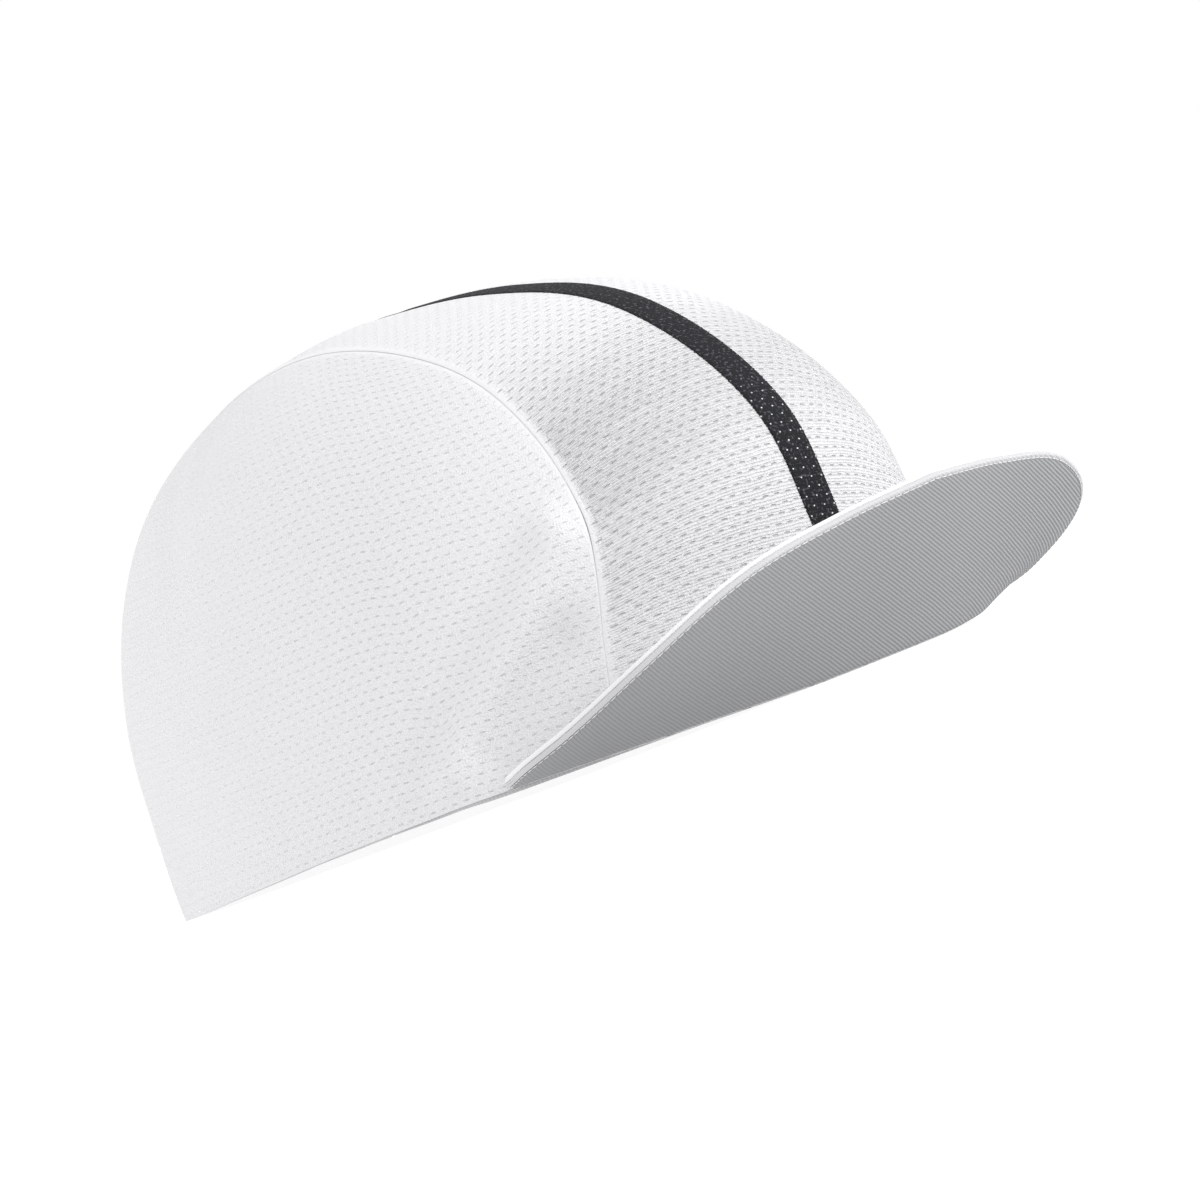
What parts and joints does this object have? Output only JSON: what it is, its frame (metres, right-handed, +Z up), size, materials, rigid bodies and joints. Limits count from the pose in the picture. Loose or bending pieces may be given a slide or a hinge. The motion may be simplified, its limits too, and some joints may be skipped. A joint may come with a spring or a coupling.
{
  "type": "cycling cap",
  "caption": "Soft cloth cycling cap with a domed crown of long panels, a narrow dark stripe over its middle and a short peak flipped up.",
  "frame": {"origin": "on the ground below the middle of the cap's box, where the cap stands on its hem", "axes": "+Z up, -Y towards the peak, +X towards the wearer's left; the cap is symmetric across X apart from its soft folds"},
  "size_m": [0.1544, 0.2246, 0.1011],
  "materials": {
    "white_mesh": "matte white knitted mesh with small staggered eyelets",
    "charcoal_print": "matte charcoal print on the same mesh",
    "grey_twill": "matte light grey ribbed twill",
    "grey_band": "matte light grey band"
  },
  "bodies": {
    "root": {"centre_panel": "white_mesh", "side_panel_right": "white_mesh", "side_panel_left": "white_mesh", "stripe": "charcoal_print", "peak_top": "white_mesh", "peak_underside": "grey_twill", "inner_band": "grey_band"}
  },
  "joints": []
}
